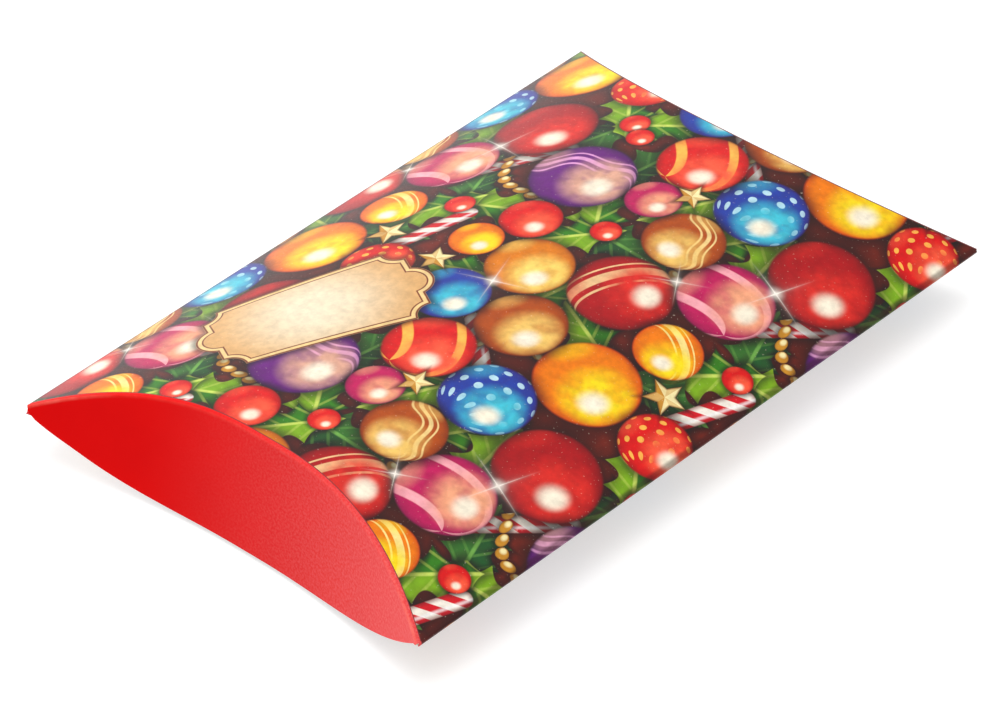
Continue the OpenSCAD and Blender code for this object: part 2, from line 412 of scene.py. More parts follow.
class Graph:
    """A node tree, with short calls for the nodes that it is made of."""

    def __init__(self, tree):
        self.tree = tree

    def node(self, kind, **settings):
        made = self.tree.nodes.new(kind)
        for key, value in settings.items():
            setattr(made, key, value)
        return made

    def feed(self, socket, value):
        if isinstance(value, bpy.types.NodeSocket):
            self.tree.links.new(value, socket)
        else:
            socket.default_value = value

    def math(self, operation, *values):
        made = self.node("ShaderNodeMath", operation=operation)
        for socket, value in zip(made.inputs, values):
            self.feed(socket, value)
        return made.outputs["Value"]

    def vector(self, operation, *values):
        made = self.node("ShaderNodeVectorMath", operation=operation)
        for socket, value in zip(made.inputs, values):
            self.feed(socket, value)
        gives_value = operation in ("LENGTH", "DOT_PRODUCT")
        return made.outputs["Value" if gives_value else "Vector"]

    def scaled(self, vector, factor):
        made = self.node("ShaderNodeVectorMath", operation="SCALE")
        self.feed(made.inputs["Vector"], vector)
        self.feed(made.inputs["Scale"], factor)
        return made.outputs["Vector"]

    def mix(self, share, low, high):
        made = self.node("ShaderNodeMix", data_type="RGBA")
        self.feed(made.inputs["Factor"], share)
        self.feed(made.inputs[MIX_LOW], low)
        self.feed(made.inputs[MIX_HIGH], high)
        return made.outputs[MIX_RESULT]

    def lifted(self, value):
        """The value, or 0 where it is below 0."""
        return self.math("MAXIMUM", value, 0.0)

    def step(self, value, start, end, low=0.0, high=1.0):
        """A smooth step of value from low at start to high at end.

        A clamp would add nothing to it, and the renderer would keep all of a long chain's
        values waiting for it, which is more than it can hold.
        """
        made = self.node("ShaderNodeMapRange", interpolation_type="SMOOTHSTEP", clamp=False)
        for name, given in (("Value", value), ("From Min", start), ("From Max", end),
                            ("To Min", low), ("To Max", high)):
            self.feed(made.inputs[name], given)
        return made.outputs["Result"]

    def parts(self, vector):
        made = self.node("ShaderNodeSeparateXYZ")
        self.feed(made.inputs["Vector"], vector)
        return made.outputs["X"], made.outputs["Y"], made.outputs["Z"]

    def joined(self, x, y, z=0.0):
        made = self.node("ShaderNodeCombineXYZ")
        for name, value in zip("XYZ", (x, y, z)):
            self.feed(made.inputs[name], value)
        return made.outputs["Vector"]

    def noise(self, vector, scale, detail=2.0, roughness=0.5):
        made = self.node("ShaderNodeTexNoise")
        self.feed(made.inputs["Vector"], vector)
        made.inputs["Scale"].default_value = scale
        made.inputs["Detail"].default_value = detail
        made.inputs["Roughness"].default_value = roughness
        return made.outputs["Fac"]

    def spot(self):
        """Place on the flat sheet, in metres."""
        return self.node("ShaderNodeUVMap", uv_map=SHEET_LAYER).outputs["UV"]

    def sheet(self):
        """Place on the flat sheet, in millimetres."""
        return self.scaled(self.spot(), 1 / MM)


BLACK = (0, 0, 0, 1)
# The print repeats over a tile, across and along the sheet, in millimetres
TILE_W = 52
TILE_L = 54
TILE_SHIFT = (19, 33)
MOTIF_COLOURS = ("Rim", "Body", "Glow", "Mark")


class Motif(Graph):
    """A node group that draws one motif over the colour under it.

    x and y are the motif's own, from -1 to 1, along the Across and Along vectors round
    the Middle, and the sheet is wrapped there so that the motif repeats with the tile.
    """

    def __init__(self, name):
        tree = bpy.data.node_groups.new(name, "ShaderNodeTree")
        sockets = [("Under", "Color"), ("Sheet", "Vector"), ("Middle", "Vector"),
                   ("Across", "Vector"), ("Along", "Vector"), ("Cloud", "Float")]
        for given, kind in sockets + [(colour, "Color") for colour in MOTIF_COLOURS]:
            tree.interface.new_socket(given, in_out="INPUT", socket_type=f"NodeSocket{kind}")
        tree.interface.new_socket("Colour", in_out="OUTPUT", socket_type="NodeSocketColor")
        super().__init__(tree)
        self.given = self.node("NodeGroupInput").outputs
        away = self.vector("SUBTRACT", self.given["Sheet"], self.given["Middle"])
        half = (TILE_W / 2, TILE_L / 2, 1)
        away = self.vector("WRAP", away, half, tuple(-v for v in half))
        self.x = self.vector("DOT_PRODUCT", away, self.given["Across"])
        self.y = self.vector("DOT_PRODUCT", away, self.given["Along"])
        self.radius = self.vector("LENGTH", self.joined(self.x, self.y))

    def finish(self, colour, cover, shadow):
        """The colour laid over the shadowed sheet as far as it covers it."""
        under = self.mix(shadow, self.given["Under"], BLACK)
        result = self.node("NodeGroupOutput").inputs["Colour"]
        self.feed(result, self.mix(cover, under, colour))
        return self.tree


GLINT = colour_of(0xFFF4DC)
# Directions from which a ball is lit in the print, and the tilt of the bands on it
GLOW_FROM = Vector((0.42, -0.12, 0.9)).normalized()
GLINT_FROM = Vector((0.4, -0.26, 0.88)).normalized()
BOUNCE_FROM = Vector((-0.72, 0.35, 0.45)).normalized()
MARK_TILT = math.radians(28)

# From here on, a name that ends in STEP has what Graph.step takes (start, end, low and high),
# and one that ends in NOISE what Graph.noise takes (scale, detail and roughness).
# Marks on a ball, by its latitude and longitude. Some have a thinner line beside them.
BAND_STEP = (0.13, 0.10)
BAND_BESIDE = 0.27
BAND_LINE_STEP = (0.035, 0.02)
WAVE_RATE = 5.0
WAVE_SWING = 0.09
WAVE_STEP = (0.08, 0.04)
WAVE_BESIDE = 0.2
WAVE_LINE_STEP = (0.045, 0.01)
DOT_CELLS = (2.2, 2.6, 0)
DOT_STEP = (0.25, 0.2)
SWIRL_RATES = (3.0, 4.5)
SWIRL_STEP = (0.72, 0.86)


def bands(graph, latitude, longitude):
    middle = graph.step(graph.math("ABSOLUTE", latitude), *BAND_STEP)
    beside = graph.math("SUBTRACT", graph.math("ABSOLUTE", latitude), BAND_BESIDE)
    line = graph.step(graph.math("ABSOLUTE", beside), *BAND_LINE_STEP)
    return graph.math("MAXIMUM", middle, line)


def waves(graph, latitude, longitude):
    wave = graph.math("SINE", graph.math("MULTIPLY", longitude, WAVE_RATE))
    off = graph.math("ABSOLUTE", graph.math("MULTIPLY_ADD", wave, WAVE_SWING, latitude))
    beside = graph.math("ABSOLUTE", graph.math("SUBTRACT", off, WAVE_BESIDE))
    return graph.math("MAXIMUM", graph.step(off, *WAVE_STEP),
                      graph.step(beside, *WAVE_LINE_STEP))


def dots(graph, latitude, longitude):
    cells = graph.vector("MULTIPLY", graph.joined(longitude, latitude), DOT_CELLS)
    cells = graph.vector("WRAP", cells, (0.5, 0.5, 1), (-0.5, -0.5, -1))
    return graph.step(graph.vector("LENGTH", cells), *DOT_STEP)


def swirl(graph, latitude, longitude):
    around, across = SWIRL_RATES
    turn = graph.math("MULTIPLY_ADD", longitude, around,
                      graph.math("MULTIPLY", latitude, across))
    return graph.step(graph.math("SINE", turn), *SWIRL_STEP)


BALL_RIM_STEP = (0.05, 0.75)
BALL_MARK_STEP = (0.0, 0.8, 0.15, 0.95)
BALL_BOUNCE_STEP = (0.86, 1.0, 0.0, 0.4)
BALL_GLOW_STEP = (0.58, 1.0)
BALL_GLINT_STEP = (0.9, 1.0)
BALL_GLINT_POWER = 2.5
BALL_COVER_STEP = (1.0, 0.93)
BALL_SHADOW_STEP = (1.35, 0.9, 0.0, 0.8)


def ball_group(name, mark):
    """A glossy ball, with a pattern given by latitude and longitude."""
    graph = Motif(name)
    square = graph.math("MULTIPLY", graph.radius, graph.radius)
    height = graph.math("SQRT", graph.lifted(graph.math("SUBTRACT", 1.0, square)))
    facing = graph.joined(graph.x, graph.y, height)
    given = graph.given
    colour = graph.mix(graph.step(height, *BALL_RIM_STEP), given["Rim"], given["Body"])
    if mark:
        latitude = graph.vector("DOT_PRODUCT", facing,
                                (0, math.cos(MARK_TILT), -math.sin(MARK_TILT)))
        forward = graph.vector("DOT_PRODUCT", facing,
                               (0, math.sin(MARK_TILT), math.cos(MARK_TILT)))
        mask = mark(graph, latitude, graph.math("ARCTAN2", graph.x, forward))
        shade = graph.step(height, *BALL_MARK_STEP)
        colour = graph.mix(graph.math("MULTIPLY", mask, shade), colour, given["Mark"])
    bounce = graph.step(graph.vector("DOT_PRODUCT", facing, BOUNCE_FROM), *BALL_BOUNCE_STEP)
    colour = graph.mix(bounce, colour, given["Glow"])
    lit = graph.step(graph.vector("DOT_PRODUCT", facing, GLOW_FROM), *BALL_GLOW_STEP)
    colour = graph.mix(graph.math("MULTIPLY", lit, given["Cloud"]), colour, given["Glow"])
    glint = graph.step(graph.vector("DOT_PRODUCT", facing, GLINT_FROM), *BALL_GLINT_STEP)
    colour = graph.mix(graph.math("POWER", glint, BALL_GLINT_POWER), colour, GLINT)
    return graph.finish(colour, graph.step(graph.radius, *BALL_COVER_STEP),
                        graph.step(graph.radius, *BALL_SHADOW_STEP))


# Length between a leaf's spines, how much wider it is there, and its width between them
LEAF_SPINE = 0.25
LEAF_SPREAD = 4.6
LEAF_WAIST = 0.3
LEAF_RIM_STEP = (0.0, 0.2)
LEAF_LIGHT_STEP = (-0.02, 0.03, 0.0, 0.6)
LEAF_VEIN_RATE = 18.0
LEAF_VEIN_STEP = (0.6, 1.0, 0.0, 0.35)
LEAF_MIDRIB_STEP = (0.05, 0.015)
LEAF_COVER_STEP = (0.0, 0.03)
LEAF_SHADOW_STEP = (-0.22, 0.02, 0.0, 0.7)


def leaf_group(name):
    """A spiny leaf along x, with a pale midrib and one half in shade."""
    graph = Motif(name)
    x, y, given = graph.x, graph.y, graph.given
    away = graph.math("ABSOLUTE", y)
    taper = graph.math("SUBTRACT", 1.0, graph.math("MULTIPLY", x, x))
    spine = graph.math("PINGPONG", graph.math("ADD", x, 1.0), LEAF_SPINE)
    notch = graph.math("MULTIPLY_ADD", graph.math("MULTIPLY", spine, spine), LEAF_SPREAD,
                       LEAF_WAIST)
    half = graph.math("MULTIPLY", taper, notch)
    inside = graph.math("SUBTRACT", half, away)
    colour = graph.mix(graph.step(inside, *LEAF_RIM_STEP), given["Rim"], given["Body"])
    colour = graph.mix(graph.step(y, *LEAF_LIGHT_STEP), colour, given["Glow"])
    vein = graph.math("MULTIPLY", graph.math("SUBTRACT", x, away), LEAF_VEIN_RATE)
    ribs = graph.step(graph.math("SINE", vein), *LEAF_VEIN_STEP)
    ribs = graph.math("MAXIMUM", ribs, graph.step(away, *LEAF_MIDRIB_STEP))
    colour = graph.mix(ribs, colour, given["Mark"])
    return graph.finish(colour, graph.step(inside, *LEAF_COVER_STEP),
                        graph.step(inside, *LEAF_SHADOW_STEP))


STAR_POINTS = 5
# Radius of the notches between a star's points, the angle from a ray to the normal of each
# side of it, and the direction of the light, in radians
STAR_NOTCH = 0.46
STAR_SIDE = math.radians(54)
STAR_LIGHT = 0.6
# Shares of the distance to the star's edge at which its rim, its cover and its shadow lie
STAR_RIM_SHARE = 0.72
STAR_COVER_SHARE = 0.94
STAR_SHADOW_SHARES = (1.7, 0.9)
STAR_SHADOW_DEPTH = 0.7


def star_group(name):
    """A five-pointed star, folded along each ray so that one side of it is lit."""
    graph = Motif(name)
    given = graph.given
    point = 2 * math.pi / STAR_POINTS
    notch = Vector((math.cos(point / 2), math.sin(point / 2))) * STAR_NOTCH
    out = Vector((notch.y, 1 - notch.x)).normalized()
    angle = graph.math("ARCTAN2", graph.y, graph.x)
    ray = graph.math("WRAP", angle, point / 2, -point / 2)
    off = graph.math("ABSOLUTE", ray)
    spread = graph.joined(graph.math("COSINE", off), graph.math("SINE", off))
    edge = graph.math("MULTIPLY", graph.radius, graph.vector("DOT_PRODUCT", spread, (*out, 0)))
    side = graph.math("MULTIPLY", graph.math("SIGN", ray), STAR_SIDE)
    towards = graph.math("ADD", graph.math("SUBTRACT", angle, ray), side)
    light = graph.math("COSINE", graph.math("SUBTRACT", towards, STAR_LIGHT))
    colour = graph.mix(graph.math("MULTIPLY_ADD", light, 0.5, 0.5), given["Body"], given["Glow"])
    colour = graph.mix(graph.step(edge, out.x * STAR_RIM_SHARE, out.x), colour, given["Rim"])
    start, end = (out.x * share for share in STAR_SHADOW_SHARES)
    return graph.finish(colour, graph.step(edge, out.x, out.x * STAR_COVER_SHARE),
                        graph.step(edge, start, end, 0.0, STAR_SHADOW_DEPTH))


# Half the thickness of a candy stick, as a share of its half length, and how fast its
# stripes follow along and across it. The other shares are of that half thickness.
STICK_HALF = 0.17
STICK_RATES = (15.0, 17.0)
STICK_STRIPE_STEP = (-0.15, 0.15)
STICK_RIM_SHARE = 0.35
STICK_RIM_DEPTH = 0.75
STICK_SHINE_SHARE = 0.35
STICK_SHINE_WIDTH_SHARE = 0.3
STICK_SHINE_DEPTH = 0.6
STICK_COVER_SHARE = 0.85
STICK_SHADOW_SHARE = 2.1
STICK_SHADOW_DEPTH = 0.7


def stick_group(name):
    """A striped candy stick along x."""
    graph = Motif(name)
    x, y, given = graph.x, graph.y, graph.given
    past = graph.math("SUBTRACT", graph.math("ABSOLUTE", x), 1 - STICK_HALF)
    away = graph.vector("LENGTH", graph.joined(graph.lifted(past), y))
    along, across = STICK_RATES
    slant = graph.math("MULTIPLY_ADD", x, along, graph.math("MULTIPLY", y, across))
    stripe = graph.step(graph.math("SINE", slant), *STICK_STRIPE_STEP)
    colour = graph.mix(stripe, given["Body"], given["Mark"])
    rim = graph.step(away, STICK_HALF * STICK_RIM_SHARE, STICK_HALF, 0.0, STICK_RIM_DEPTH)
    colour = graph.mix(rim, colour, given["Rim"])
    shine = graph.math("ABSOLUTE", graph.math("ADD", y, STICK_HALF * STICK_SHINE_SHARE))
    shine = graph.step(shine, STICK_HALF * STICK_SHINE_WIDTH_SHARE, 0.0, 0.0,
                       STICK_SHINE_DEPTH)
    colour = graph.mix(shine, colour, given["Glow"])
    return graph.finish(colour, graph.step(away, STICK_HALF, STICK_HALF * STICK_COVER_SHARE),
                        graph.step(away, STICK_HALF * STICK_SHADOW_SHARE, STICK_HALF, 0.0,
                                   STICK_SHADOW_DEPTH))


# Length of one bead of a string, and the string's swing and waves, with a half length of 1
BEAD_LENGTH = 0.2
CHAIN_SWING = 0.13
CHAIN_WAVES = 4.2
BEAD_GLINT_STEP = (0.75, 1.0)
BEAD_RIM_STEP = (0.1, 0.8)
BEAD_COVER_STEP = (1.0, 0.85)
BEAD_SHADOW_STEP = (3.5, 0.8, 0.0, 0.7)


def chain_group(name):
    """A waving string of small beads along x."""
    graph = Motif(name)
    x, y, given = graph.x, graph.y, graph.given
    swing = graph.math("SINE", graph.math("MULTIPLY", x, CHAIN_WAVES))
    off = graph.math("MULTIPLY_ADD", swing, -CHAIN_SWING, y)
    along = graph.math("WRAP", x, BEAD_LENGTH / 2, -BEAD_LENGTH / 2)
    bead = graph.scaled(graph.joined(along, off), 2 / BEAD_LENGTH)
    square = graph.vector("DOT_PRODUCT", bead, bead)
    height = graph.math("SQRT", graph.lifted(graph.math("SUBTRACT", 1.0, square)))
    facing = graph.vector("MULTIPLY_ADD", graph.joined(height, height, height), (0, 0, 1), bead)
    lit = graph.step(graph.vector("DOT_PRODUCT", facing, GLINT_FROM), *BEAD_GLINT_STEP)
    colour = graph.mix(graph.step(height, *BEAD_RIM_STEP), given["Rim"], given["Body"])
    colour = graph.mix(lit, colour, given["Glow"])
    inside = graph.math("LESS_THAN", graph.math("ABSOLUTE", x), 1.0)
    cover = graph.math("MULTIPLY", graph.step(square, *BEAD_COVER_STEP), inside)
    shadow = graph.math("MULTIPLY", graph.step(square, *BEAD_SHADOW_STEP), inside)
    return graph.finish(colour, cover, shadow)


# Powers by which a sparkle's rays fade along and across, their width, and its core
RAY_FADE = 1.5
RAY_THIN = 1.6
RAY_WIDTH = 0.014
SPARKLE_CORE_STEP = (0.24, 0.0, 0.0, 0.5)


def sparkle_group(name):
    """Four thin rays of light round a small glow."""
    graph = Motif(name)
    along, across = graph.math("ABSOLUTE", graph.x), graph.math("ABSOLUTE", graph.y)

    def ray(length, width):
        fade = graph.math("POWER", graph.lifted(graph.math("SUBTRACT", 1.0, length)), RAY_FADE)
        thin = graph.math("DIVIDE", RAY_WIDTH, graph.math("ADD", width, RAY_WIDTH))
        return graph.math("MULTIPLY", fade, graph.math("POWER", thin, RAY_THIN))

    rays = graph.math("ADD", ray(along, across), ray(across, along))
    core = graph.step(graph.radius, *SPARKLE_CORE_STEP)
    light = graph.math("MINIMUM", graph.math("ADD", rays, core), 1.0)
    return graph.finish(graph.given["Glow"], light, 0.0)


def motif_groups():
    marks = {"plain": None, "bands": bands, "waves": waves, "dots": dots, "swirl": swirl}
    groups = {name: ball_group(name, mark) for name, mark in marks.items()}
    for name, make in (("leaf", leaf_group), ("star", star_group), ("stick", stick_group),
                       ("chain", chain_group), ("sparkle", sparkle_group)):
        groups[name] = make(name)
    return groups


# Colours of the print: rim, body, glow, and marks
PALETTE = {
    "red": (0x7E0208, 0xDC0A0C, 0xFF5A3A, 0xFFC050),
    "crimson": (0x480008, 0xAC0610, 0xE0281E, 0xF2C890),
    "orange": (0xC83000, 0xF07C00, 0xFFE010, 0xFFE890),
    "copper": (0x641800, 0xB04A08, 0xF6C868, 0xF8D890),
    "amber": (0x8A3200, 0xDE7C0C, 0xFFE070, 0xFFF0B0),
    "blue": (0x2A1464, 0x1E3CA0, 0x40C4D8, 0xC0E4F0),
    "violet": (0x28043C, 0x660E78, 0xE0A890, 0xE8A0D8),
    "pink": (0x6A0440, 0xC01058, 0xF8A880, 0xFFB0B8),
    "gold": (0x6A3A08, 0xC98A24, 0xFFF0B0, 0xFFF0B0),
    "leaf": (0x0A2E08, 0x2E7A10, 0x98C418, 0xC8DC60),
    "shade": (0x041C10, 0x145020, 0x3C7C28, 0x6CA848),
    "candy": (0x7A0818, 0xD81020, 0xFFFFFF, 0xF8EEE0),
    "white": (0xFFFFFF, 0xFFFFFF, 0xFFF4E8, 0xFFFFFF),
}

# Kind, colour, place across and along the tile, radius or half length, and turn in
# degrees. Each lies over the ones before it.
MOTIFS = (
    ("leaf", "shade", 20, 2, 8.5, 250),
    ("leaf", "leaf", 26, 8, 8.5, 35),
    ("leaf", "leaf", 18, 8, 8, 130),
    ("leaf", "shade", 40, 37, 8.5, 0),
    ("leaf", "leaf", 32, 41, 8.5, 125),
    ("leaf", "leaf", 33, 34, 8, 230),
    ("leaf", "shade", 13, 37, 8, 110),
    ("leaf", "leaf", 20, 33, 8.5, 20),
    ("leaf", "leaf", 12, 28, 8.5, 235),
    ("leaf", "leaf", 48, 21, 8, 160),
    ("leaf", "shade", 30, 52, 8, 80),
    ("leaf", "leaf", 51, 50, 7.5, 60),
    ("leaf", "leaf", 29, 20, 8, 200),
    ("leaf", "shade", 10, 20, 8.5, 15),
    ("leaf", "leaf", 40, 24, 8, 80),
    ("leaf", "leaf", 4, 48, 8.5, 100),
    ("leaf", "leaf", 41, 50, 8.5, 245),
    ("stick", "candy", 16, 23, 8.5, 75),
    ("stick", "candy", 14, 44, 8.5, 55),
    ("stick", "candy", 41, 8, 8, 140),
    ("chain", "gold", 40, 9, 10, 30),
    ("chain", "gold", 20, 38, 10, 150),
    ("chain", "gold", 50, 36, 9, 100),
    ("plain", "crimson", 10.7, 52.5, 7.8, 0),
    ("plain", "orange", 3.1, 14, 7.6, 0),
    ("bands", "crimson", 46.3, 30, 7.6, 65),
    ("waves", "violet", 24.6, 45.5, 7.8, 20),
    ("dots", "blue", 48.4, 1.8, 6.8, -15),
    ("swirl", "pink", 4.7, 39.6, 7, 40),
    ("plain", "copper", 41.4, 15.6, 6.6, 0),
    ("swirl", "red", 35.6, 4, 6.6, -20),
    ("plain", "amber", 33.5, 25.6, 6.4, 0),
    ("waves", "copper", 45.1, 43.7, 6, -60),
    ("plain", "blue", 29.4, 14.4, 5.8, 0),
    ("dots", "red", 16, 13.9, 5.4, 30),
    ("bands", "orange", 6, 26.7, 5, -35),
    ("plain", "red", 26.1, 33.6, 4.6, 0),
    ("plain", "pink", 36, 47.6, 4.2, 0),
    ("plain", "orange", 23.4, 25.7, 4, 0),
    ("plain", "red", 21.5, 5.5, 2.3, 0),
    ("plain", "red", 24.5, 3.3, 2.1, 0),
    ("plain", "red", 36, 38, 2.3, 0),
    ("plain", "red", 15, 31, 2.3, 0),
    ("star", "gold", 11.1, 20.7, 3.3, 15),
    ("star", "gold", 22.2, 19, 3, 50),
    ("star", "gold", 39.5, 51.5, 2.8, 30),
    ("sparkle", "white", 32, 20, 6.5, 20),
    ("sparkle", "white", 8, 46, 7, -15),
    ("sparkle", "white", 50, 37, 5, 35),
)
# The cloudy glow on the balls
CLOUD_NOISE = (0.3 / MM, 2.0)
CLOUD_STEP = (0.3, 0.6, 0.55, 1.1)


def draw_motifs(graph, spot, sheet, colour):
    groups = motif_groups()
    cloud = graph.step(graph.noise(spot, *CLOUD_NOISE), *CLOUD_STEP)
    for kind, tint, across, along, size, turn in MOTIFS:
        motif = graph.node("ShaderNodeGroup", node_tree=groups[kind])
        graph.feed(motif.inputs["Under"], colour)
        graph.feed(motif.inputs["Sheet"], sheet)
        graph.feed(motif.inputs["Cloud"], cloud)
        angle = math.radians(turn)
        axis = Vector((math.cos(angle), math.sin(angle), 0)) / size
        motif.inputs["Middle"].default_value = (across + TILE_SHIFT[0], along + TILE_SHIFT[1], 0)
        motif.inputs["Across"].default_value = axis
        motif.inputs["Along"].default_value = (-axis.y, axis.x, 0)
        for name, value in zip(MOTIF_COLOURS, PALETTE[tint]):
            motif.inputs[name].default_value = colour_of(value)
        colour = motif.outputs["Colour"]
    return colour


# Blank plaque on the upper panel: its middle on the sheet, half sizes, and turn
PLAQUE_AT = (-16, -20)
PLAQUE_HALF = (14.5, 8.5)
PLAQUE_TURN = 62
PLAQUE_NOTCH = 2.6
# Round ear at each short side, its radius and how far its middle lies inside the side
PLAQUE_EAR = 3.4
PLAQUE_EAR_IN = 1.2
# Depth inside the outline, and half width, of each line of the border
PLAQUE_LINES = ((0.85, 0.16), (0.05, 0.2))
PLAQUE_LINE_CORE_SHARE = 0.4
PLAQUE_FADE = (2.0, 15.0)
PLAQUE_PAPER = (colour_of(0xFBF0D2), colour_of(0xE2B274))
PLAQUE_GRAIN = colour_of(0xC98A50)
PLAQUE_GRAIN_NOISE = (0.35, 3.0)
PLAQUE_GRAIN_DEPTH = 0.3
PLAQUE_FRAME = colour_of(0xF2CF8E)
PLAQUE_FRAME_STEP = (-0.9, -0.8)
PLAQUE_INK = colour_of(0x7A3A22)
PLAQUE_SHADOW_STEP = (1.6, 0.0, 0.0, 0.7)
PLAQUE_COVER_STEP = (0.16, 0.04)


def plaque(graph, sheet, under):
    """A blank cream plaque with notched corners, a double border and a soft shadow."""
    turn = math.radians(PLAQUE_TURN)
    away = graph.vector("SUBTRACT", sheet, (*PLAQUE_AT, 0))
    x = graph.vector("DOT_PRODUCT", away, (math.cos(turn), math.sin(turn), 0))
    y = graph.vector("DOT_PRODUCT", away, (-math.sin(turn), math.cos(turn), 0))
    x, y = graph.math("ABSOLUTE", x), graph.math("ABSOLUTE", y)
    past_x = graph.math("SUBTRACT", x, PLAQUE_HALF[0])
    past_y = graph.math("SUBTRACT", y, PLAQUE_HALF[1])
    corner = graph.vector("LENGTH", graph.joined(past_x, past_y))
    past = graph.math("MAXIMUM", graph.math("MAXIMUM", past_x, past_y),
                      graph.math("SUBTRACT", PLAQUE_NOTCH, corner))
    ear = graph.vector("LENGTH", graph.joined(graph.math("ADD", past_x, PLAQUE_EAR_IN), y))
    past = graph.math("MINIMUM", past, graph.math("SUBTRACT", ear, PLAQUE_EAR))
    paper = graph.mix(graph.step(graph.vector("LENGTH", graph.joined(x, y)), *PLAQUE_FADE),
                      *PLAQUE_PAPER)
    grain = graph.noise(sheet, *PLAQUE_GRAIN_NOISE)
    paper = graph.mix(graph.math("MULTIPLY", grain, PLAQUE_GRAIN_DEPTH), paper, PLAQUE_GRAIN)
    colour = graph.mix(graph.step(past, *PLAQUE_FRAME_STEP), paper, PLAQUE_FRAME)
    for depth, width in PLAQUE_LINES:
        off = graph.math("ABSOLUTE", graph.math("ADD", past, depth))
        line = graph.step(off, width, width * PLAQUE_LINE_CORE_SHARE)
        colour = graph.mix(line, colour, PLAQUE_INK)
    under = graph.mix(graph.step(past, *PLAQUE_SHADOW_STEP), under, BLACK)
    return graph.mix(graph.step(past, *PLAQUE_COVER_STEP), under, colour)


def new_material(name):
    material = bpy.data.materials.new(name)
    material.use_nodes = True
    return Graph(material.node_tree), material, material.node_tree.nodes["Principled BSDF"]


def add_bump(graph, shader, strength, distance, height):
    bump = graph.node("ShaderNodeBump")
    bump.inputs["Strength"].default_value = strength
    bump.inputs["Distance"].default_value = distance
    graph.feed(bump.inputs["Height"], height)
    graph.feed(shader.inputs["Normal"], bump.outputs["Normal"])


def set_surface(shader, specular, sheen, sheen_roughness):
    shader.inputs["Specular IOR Level"].default_value = specular
    shader.inputs["Sheen Weight"].default_value = sheen
    shader.inputs["Sheen Roughness"].default_value = sheen_roughness


# The print: its ground, the dark clouds and the pale dust over it, and the painted shade that
# darkens it towards a side fold, by distances in millimetres
GROUND = (colour_of(0x300206), colour_of(0x8C2408))
GROUND_NOISE = (0.16 / MM, 3.0)
TINT = colour_of(0x300404)
TINT_NOISE = (0.7, 4.0, 0.6)
TINT_STEP = (0.25, 0.75, 0.25, 0.0)
DUST = colour_of(0xFFE8D0)
DUST_NOISE = (2.4, 2.0)
DUST_STEP = (0.66, 0.76, 0.0, 0.22)
FOLD_SHADE = colour_of(0x2A0606)
FOLD_SHADE_STEP = (0.8, 0.15, 0.0, 0.6)
PRINT_GRAIN_NOISE = (2.6, 2.0)
PRINT_ROUGHNESS_STEP = (0.3, 0.7, 0.34, 0.44)
PRINT_SURFACE = {"specular": 0.2, "sheen": 0.35, "sheen_roughness": 0.35}


def printed_material():
    """The festive print.

    The noises that come before the motifs read the place before it is scaled. From the
    scaled one, the renderer would hold the whole chain of motifs back for them.
    """
    graph, material, shader = new_material("festive_print")
    spot = graph.spot()
    sheet = graph.scaled(spot, 1 / MM)
    colour = graph.mix(graph.noise(spot, *GROUND_NOISE), *GROUND)
    colour = draw_motifs(graph, spot, sheet, colour)
    colour = plaque(graph, sheet, colour)
    tint = graph.step(graph.noise(sheet, *TINT_NOISE), *TINT_STEP)
    colour = graph.mix(tint, colour, TINT)
    dust = graph.step(graph.noise(sheet, *DUST_NOISE), *DUST_STEP)
    colour = graph.mix(dust, colour, DUST)
    # Painted shade: the print darkens close to each side fold, standing in for the rounding
    # fold's shade
    across, _, _ = graph.parts(sheet)
    to_fold = graph.math("ABSOLUTE", graph.math("SUBTRACT", graph.math("ABSOLUTE", across),
                                                PANEL_HALF / MM))
    colour = graph.mix(graph.step(to_fold, *FOLD_SHADE_STEP), colour, FOLD_SHADE)
    grain = graph.noise(sheet, *PRINT_GRAIN_NOISE)
    graph.feed(shader.inputs["Roughness"], graph.step(grain, *PRINT_ROUGHNESS_STEP))
    graph.feed(shader.inputs["Base Color"], colour)
    set_surface(shader, **PRINT_SURFACE)
    return material


# The red ink: its two shades and the size of their patches, the painted sheen that pales one
# side across the flap in millimetres and the specks in it, and the scuffs and painted
# highlight along the fold
RED_SHADES = (colour_of(0xD80002), colour_of(0xE40404))
RED_NOISE = (0.12, 3.0)
SPECK_NOISE = (2.8, 2.0, 0.6)
PALE_SPECK_AND_SHEEN = colour_of(0xF4A0A0)
PAINTED_SHEEN_SIDE_STEP = (-22.0, 34.0)
SPECK_AND_SHEEN_STEP = (0.3, 0.75, 0.13, 0.34)
SCUFF_AND_HIGHLIGHT = colour_of(0xF08070)
SCUFF_AND_HIGHLIGHT_ACROSS_STEP = (24.0, 37.0, 0.1, 0.5)
SCUFF_AND_HIGHLIGHT_END_STEP = (0.85, 0.4)
SCUFF_AND_HIGHLIGHT_START_STEP = (0.05, 0.3)
SCUFF_NOISE = (0.5, 3.0)
SCUFF_WEAR_STEP = (0.25, 0.75, 0.3, 1.0)
RED_ROUGHNESS_STEP = (0.3, 0.7, 0.38, 0.5)
RED_SURFACE = {"specular": 0.05, "sheen": 0.3, "sheen_roughness": 0.3}
# Strength and distance of the bump
RED_BUMP = (0.25, 0.015 * MM)


